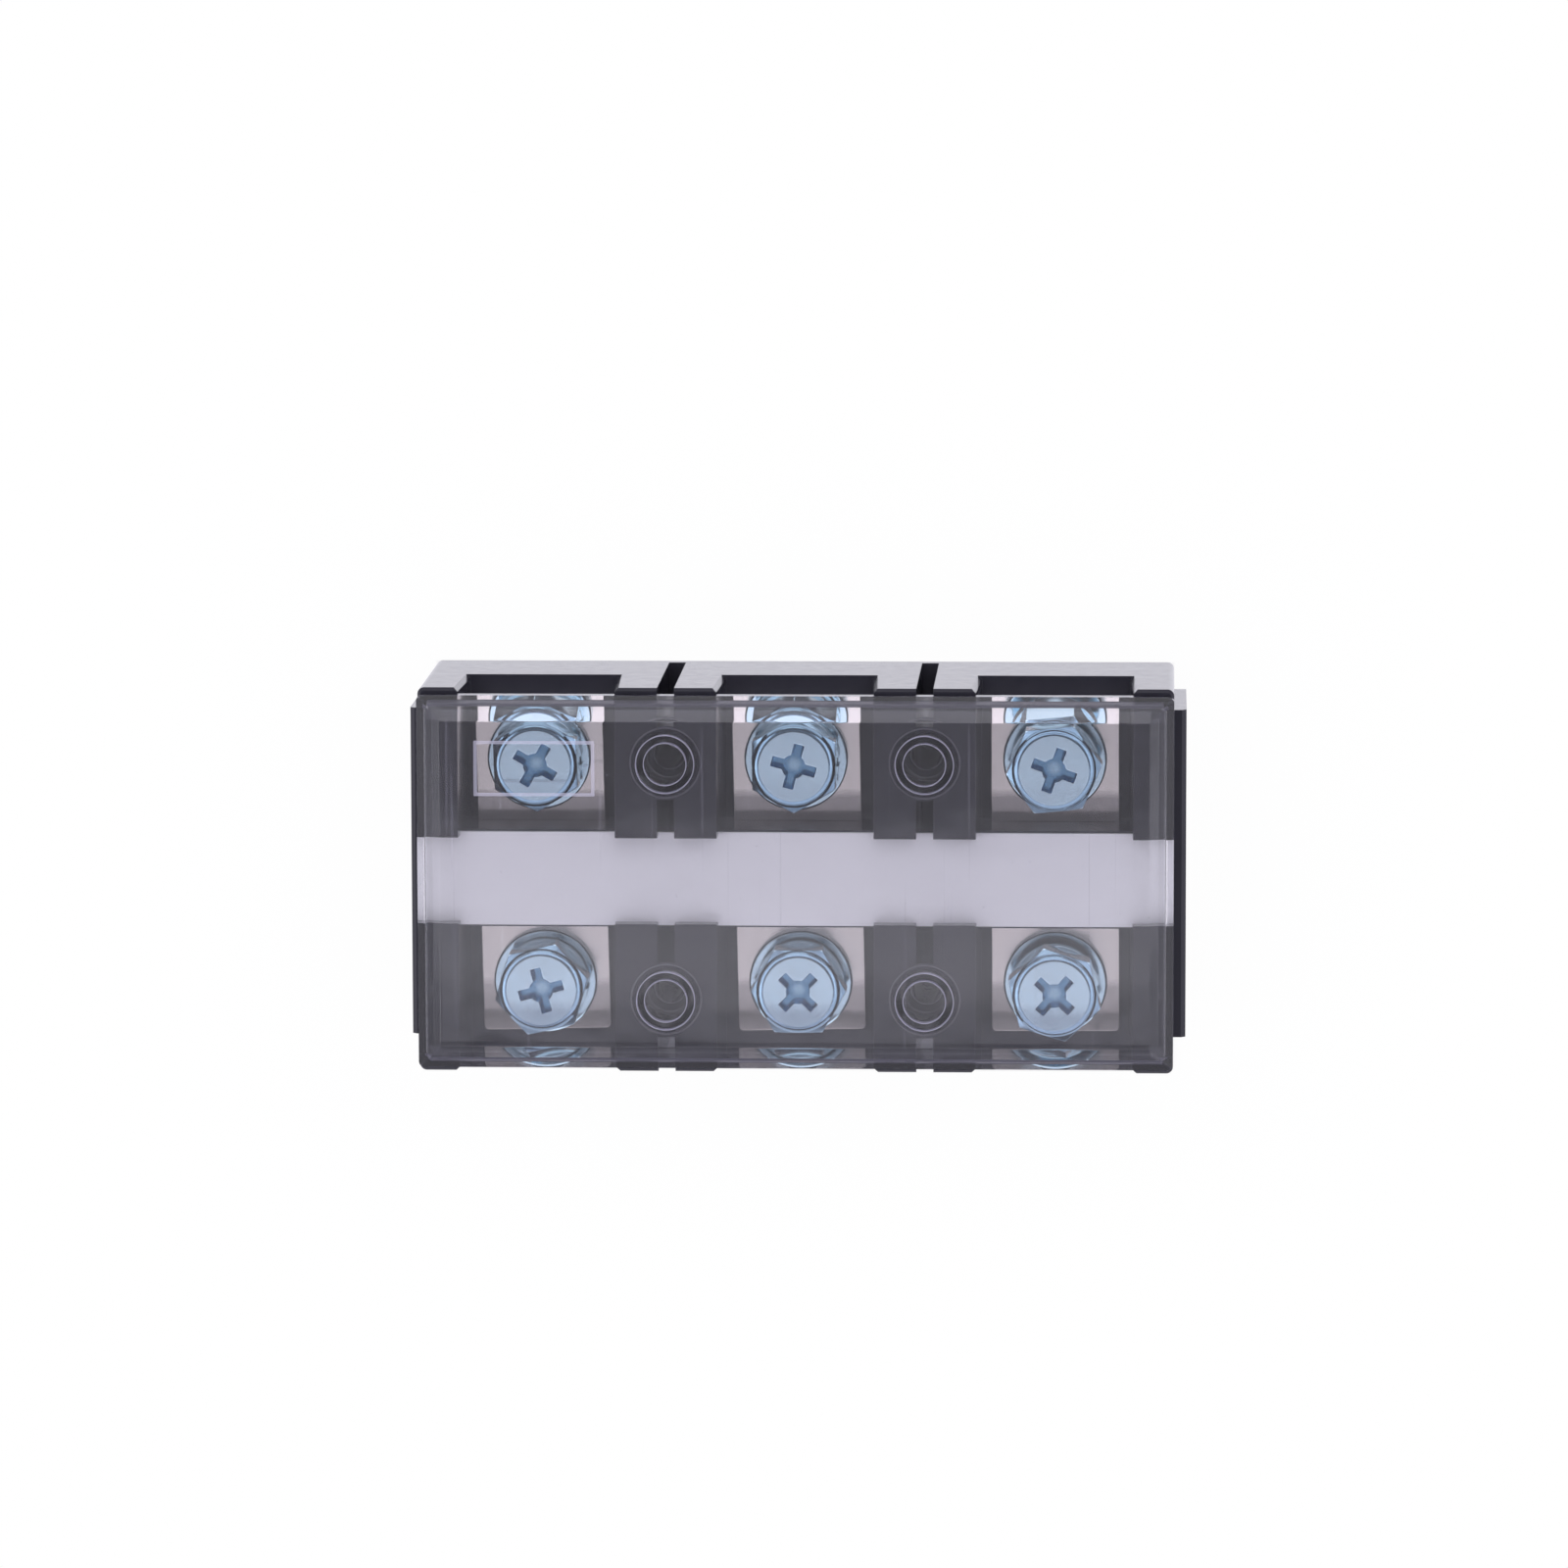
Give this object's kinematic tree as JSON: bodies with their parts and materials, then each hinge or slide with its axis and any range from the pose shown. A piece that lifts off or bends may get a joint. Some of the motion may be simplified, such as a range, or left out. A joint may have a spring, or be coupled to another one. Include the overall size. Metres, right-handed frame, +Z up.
{
  "type": "barrier terminal strip",
  "caption": "Covered barrier terminal strip: black moulded block with open-fronted bays, screw terminals in two rows, marking strip and clear lift-off cover.",
  "frame": {"origin": "middle of the flat base, on the mounting surface", "axes": "+X along the row of poles, +Y towards the wire entries that the picture shows, +Z up through the cover"},
  "size_m": [0.0936, 0.0464, 0.0315],
  "materials": {
    "housing_plastic": "moulded black, fine satin",
    "cover_plastic": "polished, clear with a smoky tint",
    "strip_plastic": "smooth white",
    "conductor_plating": "tin-plated copper alloy, dull",
    "zinc_plating": "bright zinc with a blue passivation"
  },
  "bodies": {
    "base": {"housing": "housing_plastic", "conductor_plate_1": "conductor_plating", "conductor_plate_2": "conductor_plating", "conductor_plate_3": "conductor_plating", "flat_washer_a1": "zinc_plating", "flat_washer_a2": "zinc_plating", "flat_washer_a3": "zinc_plating", "flat_washer_b1": "zinc_plating", "flat_washer_b2": "zinc_plating", "flat_washer_b3": "zinc_plating"},
    "lid": {"cover": "cover_plastic"},
    "label": {"marking_strip": "strip_plastic"},
    "washer_a1": {"spring_washer_a1": "zinc_plating"},
    "screw_a1": {"terminal_screw_a1": "zinc_plating"},
    "washer_a2": {"spring_washer_a2": "zinc_plating"},
    "screw_a2": {"terminal_screw_a2": "zinc_plating"},
    "washer_a3": {"spring_washer_a3": "zinc_plating"},
    "screw_a3": {"terminal_screw_a3": "zinc_plating"},
    "washer_b1": {"spring_washer_b1": "zinc_plating"},
    "screw_b1": {"terminal_screw_b1": "zinc_plating"},
    "washer_b2": {"spring_washer_b2": "zinc_plating"},
    "screw_b2": {"terminal_screw_b2": "zinc_plating"},
    "washer_b3": {"spring_washer_b3": "zinc_plating"},
    "screw_b3": {"terminal_screw_b3": "zinc_plating"}
  },
  "joints": [
    {"name": "cover_lift", "type": "slide", "parent": "base", "child": "lid", "axis": [0, 0, 1], "range_m": [0, 0.04]},
    {"name": "strip_slide", "type": "slide", "parent": "base", "child": "label", "axis": [1, 0, 0], "range_m": [0, 0.092]},
    {"name": "screw_a1_rise", "type": "slide", "parent": "base", "child": "washer_a1", "axis": [0, 0, 1], "range_m": [0, 0.0038]},
    {"name": "screw_a1_turn", "type": "hinge", "parent": "washer_a1", "child": "screw_a1", "pos_m": [-0.03131, 0.0136, 0.0196], "axis": [0, 0, 1], "range_deg": [-0.01, 1368.28]},
    {"name": "screw_a2_rise", "type": "slide", "parent": "base", "child": "washer_a2", "axis": [0, 0, 1], "range_m": [-0.0004, 0.0034]},
    {"name": "screw_a2_turn", "type": "hinge", "parent": "washer_a2", "child": "screw_a2", "pos_m": [-0.00026, 0.0136, 0.02], "axis": [0, 0, 1], "range_deg": [-144.04, 1224.25]},
    {"name": "screw_a3_rise", "type": "slide", "parent": "base", "child": "washer_a3", "axis": [0, 0, 1], "range_m": [-0.0032, 0.0006]},
    {"name": "screw_a3_turn", "type": "hinge", "parent": "washer_a3", "child": "screw_a3", "pos_m": [0.03095, 0.0136, 0.0228], "axis": [0, 0, 1], "range_deg": [-1152.24, 216.05]},
    {"name": "screw_b1_rise", "type": "slide", "parent": "base", "child": "washer_b1", "axis": [0, 0, 1], "range_m": [-0.0008, 0.003]},
    {"name": "screw_b1_turn", "type": "hinge", "parent": "washer_b1", "child": "screw_b1", "pos_m": [-0.03069, -0.0136, 0.0204], "axis": [0, 0, 1], "range_deg": [-288.07, 1080.23]},
    {"name": "screw_b2_rise", "type": "slide", "parent": "base", "child": "washer_b2", "axis": [0, 0, 1], "range_m": [-0.0013, 0.0025]},
    {"name": "screw_b2_turn", "type": "hinge", "parent": "washer_b2", "child": "screw_b2", "pos_m": [0.00026, -0.0136, 0.0209], "axis": [0, 0, 1], "range_deg": [-468.1, 900.19]},
    {"name": "screw_b3_rise", "type": "slide", "parent": "base", "child": "washer_b3", "axis": [0, 0, 1], "range_m": [-0.0032, 0.0006]},
    {"name": "screw_b3_turn", "type": "hinge", "parent": "washer_b3", "child": "screw_b3", "pos_m": [0.03105, -0.0136, 0.0228], "axis": [0, 0, 1], "range_deg": [-1152.24, 216.05]}
  ],
  "couplings": [
    {"joint": "screw_a1_turn", "follows": "screw_a1_rise", "rad_per_m": 6283.2},
    {"joint": "screw_a2_turn", "follows": "screw_a2_rise", "rad_per_m": 6283.2},
    {"joint": "screw_a3_turn", "follows": "screw_a3_rise", "rad_per_m": 6283.2},
    {"joint": "screw_b1_turn", "follows": "screw_b1_rise", "rad_per_m": 6283.2},
    {"joint": "screw_b2_turn", "follows": "screw_b2_rise", "rad_per_m": 6283.2},
    {"joint": "screw_b3_turn", "follows": "screw_b3_rise", "rad_per_m": 6283.2}
  ]
}
